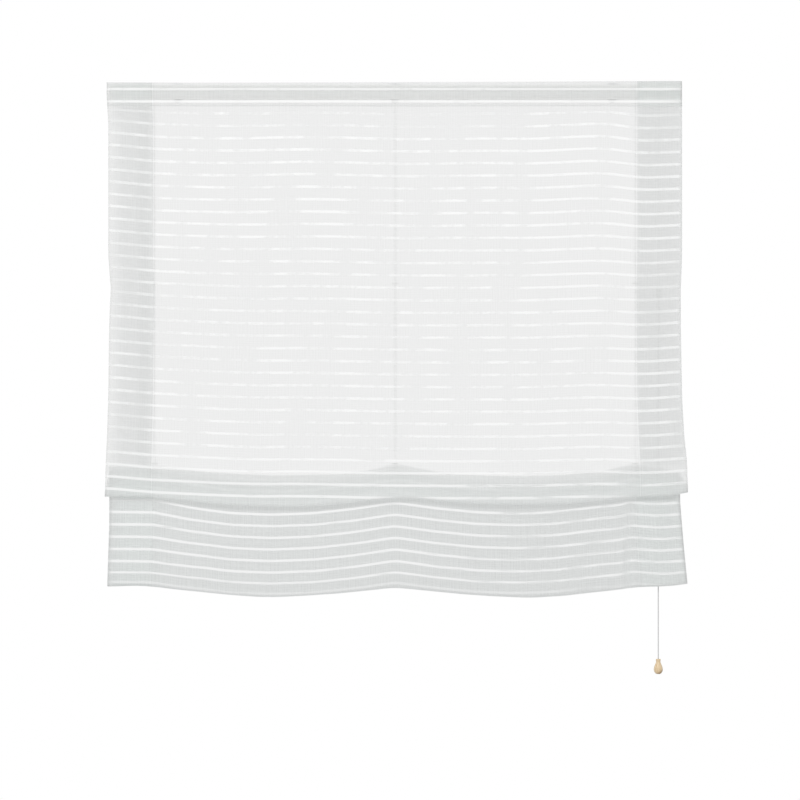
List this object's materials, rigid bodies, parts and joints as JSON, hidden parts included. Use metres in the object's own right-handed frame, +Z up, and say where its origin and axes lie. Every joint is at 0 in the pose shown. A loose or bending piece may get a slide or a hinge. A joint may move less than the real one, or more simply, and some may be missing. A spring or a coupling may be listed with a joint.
{
  "type": "roman blind",
  "caption": "Soft roman blind of sheer striped cloth, partly raised in folds, on a wall-mounted headrail with lift cords, a cord lock and a turned wooden pull.",
  "frame": {"origin": "on the wall plane, in the middle of the two screws of the middle bracket", "axes": "+X along the headrail to the viewer's right, +Y into the wall, +Z up"},
  "size_m": [1.414, 0.0528, 1.4398],
  "materials": {
    "cloth": "sheer woven linen look with openwork stripes",
    "tape": "narrow woven tape",
    "grip": "hook and loop strip",
    "rail": "white lacquered extrusion",
    "cap": "moulded plastic",
    "steel": "zinc plated sheet",
    "lever": "moulded plastic",
    "guide": "moulded plastic",
    "axle": "drawn steel",
    "roller": "moulded plastic",
    "brass": "knurled",
    "ring": "moulded plastic",
    "cord": "braided cord",
    "joiner": "moulded plastic",
    "wood": "turned pale wood, clear matt finish"
  },
  "bodies": {
    "blind": {"cloth": "cloth", "ring_tape_left": "tape", "ring_tape_middle": "tape", "ring_tape_right": "tape", "loop_strip": "grip", "hook_strip": "grip", "headrail": "rail", "end_cap_left": "cap", "end_cap_right": "cap", "bracket_left": "steel", "bracket_middle": "steel", "bracket_right": "steel", "guide_left": "guide", "guide_middle": "guide", "guide_right": "guide", "lock_housing": "guide", "guide_axle_left": "axle", "guide_axle_middle": "axle", "guide_axle_right": "axle", "lock_axle": "axle", "rings_left": "ring", "rings_middle": "ring", "rings_right": "ring", "lift_cord_left": "cord", "lift_cord_middle": "cord", "lift_cord_right": "cord", "pull_cord": "cord", "cord_joiner": "joiner", "acorn": "wood"},
    "cam_left": {"cam_lever_left": "lever"},
    "cam_middle": {"cam_lever_middle": "lever"},
    "cam_right": {"cam_lever_right": "lever"},
    "roller_left": {"guide_roller_left": "roller"},
    "roller_middle": {"guide_roller_middle": "roller"},
    "roller_right": {"guide_roller_right": "roller"},
    "wheel": {"lock_wheel": "roller"},
    "pinch_roller": {"lock_roller": "brass"}
  },
  "joints": [
    {"name": "cam_left_turn", "type": "hinge", "parent": "blind", "child": "cam_left", "pos_m": [-0.53, -0.022, 0.015], "axis": [0, 0, 1], "range_deg": [0, 90]},
    {"name": "cam_middle_turn", "type": "hinge", "parent": "blind", "child": "cam_middle", "pos_m": [0, -0.022, 0.015], "axis": [0, 0, 1], "range_deg": [0, 90]},
    {"name": "cam_right_turn", "type": "hinge", "parent": "blind", "child": "cam_right", "pos_m": [0.53, -0.022, 0.015], "axis": [0, 0, 1], "range_deg": [0, 90]},
    {"name": "wheel_spin", "type": "hinge", "parent": "blind", "child": "wheel", "pos_m": [0.6361, -0.0277, 0], "axis": [0, 1, 0], "continuous": true},
    {"name": "roller_left_spin", "type": "hinge", "parent": "blind", "child": "roller_left", "pos_m": [-0.5791, -0.0277, 0], "axis": [0, 1, 0], "continuous": true},
    {"name": "roller_middle_spin", "type": "hinge", "parent": "blind", "child": "roller_middle", "pos_m": [0.0059, -0.0277, 0], "axis": [0, 1, 0], "continuous": true},
    {"name": "roller_right_spin", "type": "hinge", "parent": "blind", "child": "roller_right", "pos_m": [0.5909, -0.0277, 0], "axis": [0, 1, 0], "continuous": true},
    {"name": "pinch_slide", "type": "slide", "parent": "blind", "child": "pinch_roller", "axis": [0.5, 0, 0.866], "range_m": [0, 0.006]}
  ],
  "couplings": [
    {"joint": "roller_left_spin", "follows": "wheel_spin", "ratio": 1},
    {"joint": "roller_middle_spin", "follows": "wheel_spin", "ratio": 1},
    {"joint": "roller_right_spin", "follows": "wheel_spin", "ratio": 1}
  ]
}
